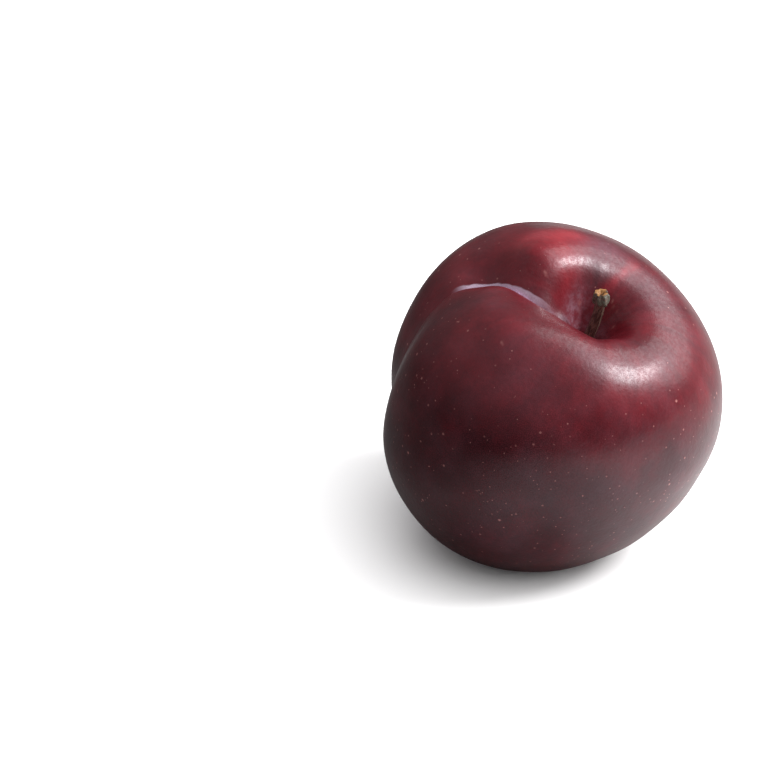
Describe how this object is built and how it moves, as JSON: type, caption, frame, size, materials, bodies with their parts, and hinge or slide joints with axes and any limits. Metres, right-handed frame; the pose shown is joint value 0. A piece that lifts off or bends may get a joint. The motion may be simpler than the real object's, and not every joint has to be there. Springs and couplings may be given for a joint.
{
  "type": "plum",
  "caption": "Ripe dark plum with a stalk cavity, a curved suture groove and a short woody stalk, lying tipped on a small flat spot.",
  "frame": {"origin": "middle of the part's box, on the surface that the fruit lies on", "axes": "-Z is down into the surface, out of the flat spot; the stalk end leans towards -Y and +X, and the suture starts from the stalk towards -X"},
  "size_m": [0.062, 0.0652, 0.0618],
  "materials": {
    "skin": "smooth dark maroon fruit skin with red patches, pale dots and a trace of waxy bloom",
    "stalk_bark": "dry rough brown bark"
  },
  "bodies": {
    "root": {"fruit": "skin", "stalk": "stalk_bark"}
  },
  "joints": []
}
